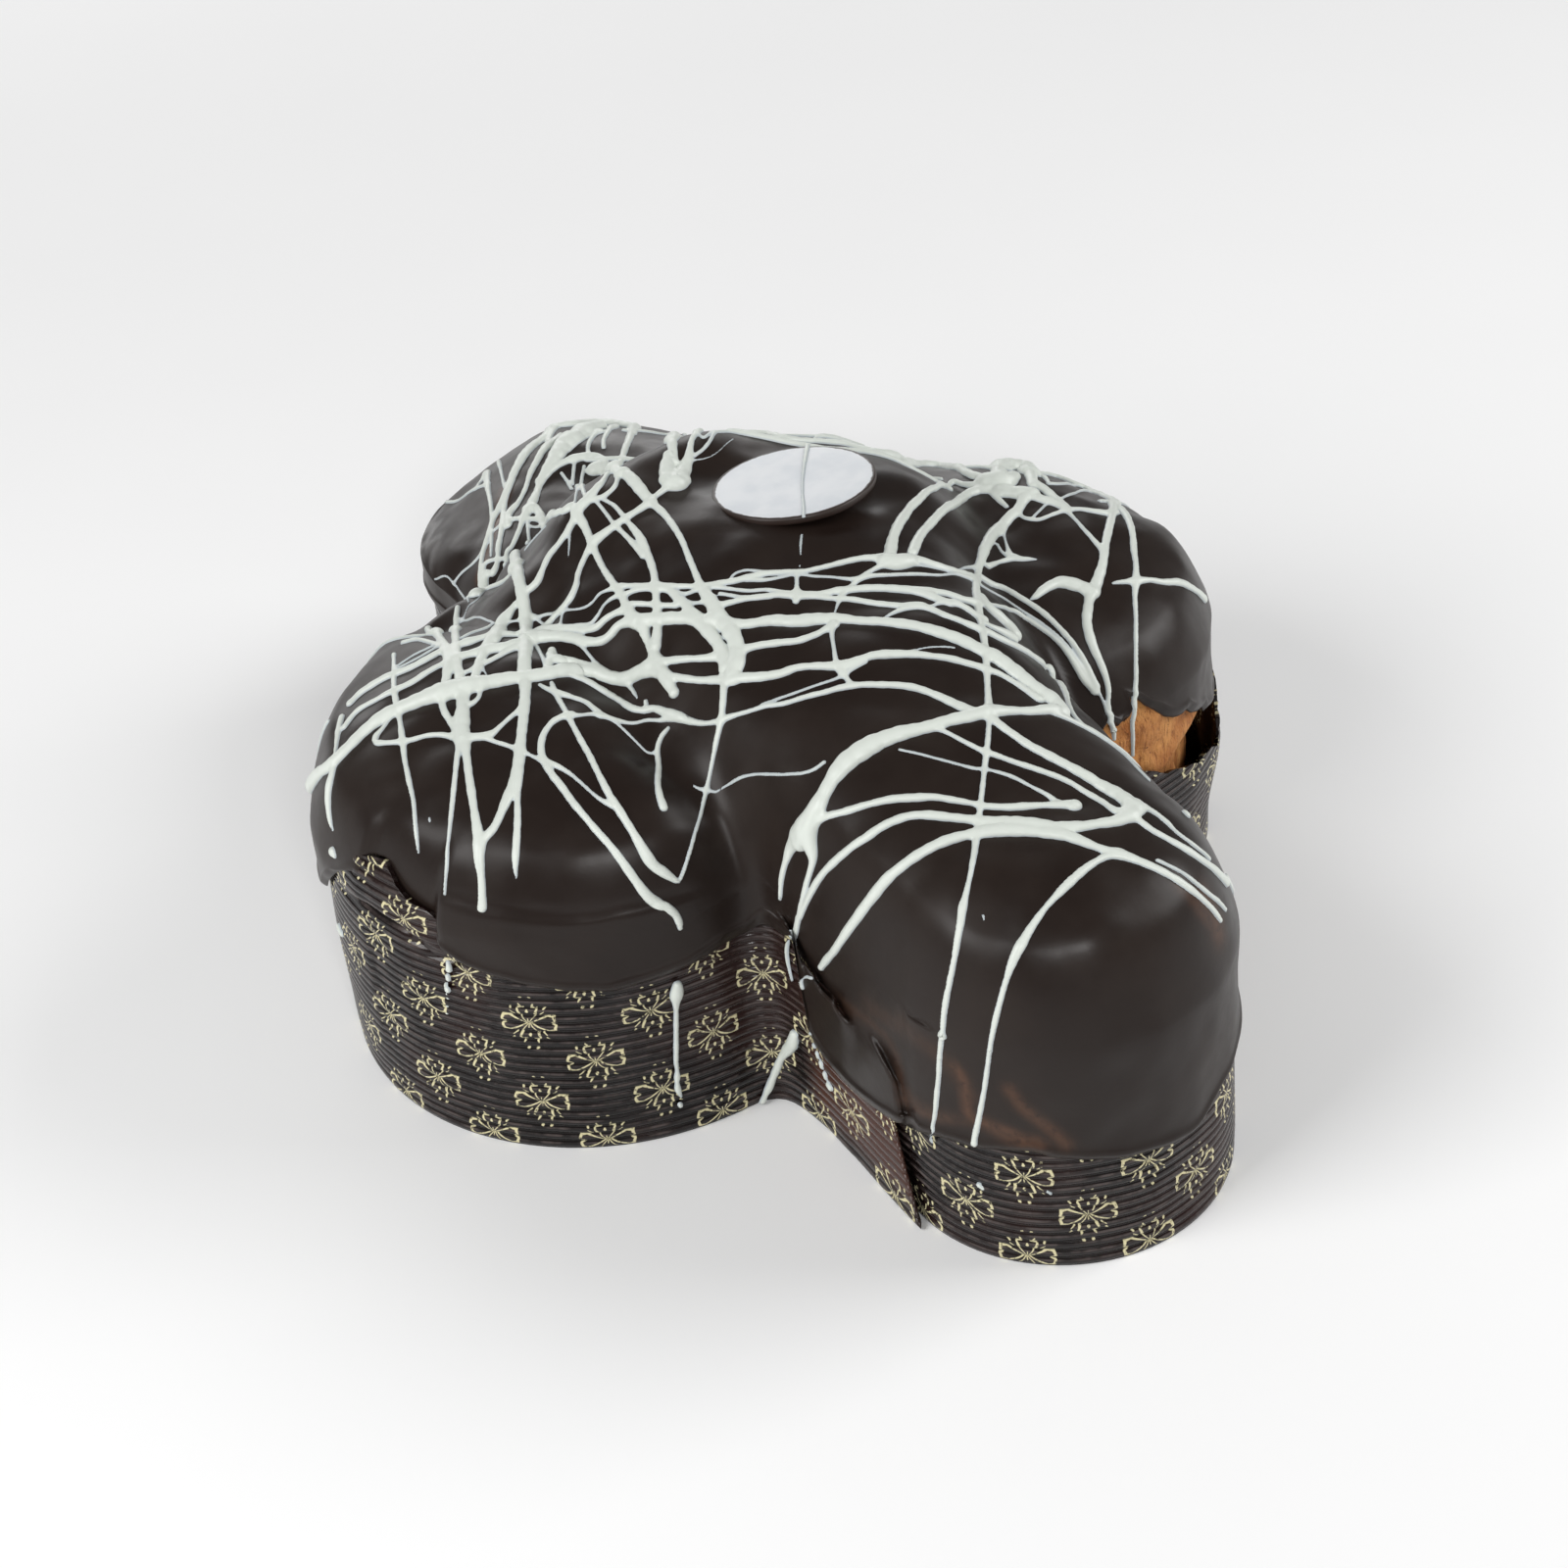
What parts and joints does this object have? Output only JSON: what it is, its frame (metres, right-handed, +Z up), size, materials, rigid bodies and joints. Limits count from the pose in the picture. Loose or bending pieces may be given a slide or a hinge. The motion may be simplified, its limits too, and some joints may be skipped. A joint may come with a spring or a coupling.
{
  "type": "dove-shaped easter cake",
  "caption": "Dove-shaped Easter cake in its brown paper case, coated with dark chocolate, drizzled with white chocolate and topped with a round plaque.",
  "frame": {"origin": "centre of the flat base of the paper case, at the height of the surface it stands on", "axes": "+Z up, +Y towards the head, -Y towards the tail, +X and -X towards the wings"},
  "size_m": [0.2208, 0.2853, 0.11],
  "materials": {
    "paper": "ribbed dark brown baking paper with a cream and gold print",
    "crust": "browned bread crust",
    "dark_chocolate": "satin dark chocolate coating",
    "white_chocolate": "satin white chocolate drizzle",
    "plaque": "pale silvery top on a dark brown disc"
  },
  "bodies": {
    "root": {"paper_case": "paper", "cake": "crust", "chocolate_glaze": "dark_chocolate", "chocolate_plaque": "plaque"}
  },
  "joints": []
}
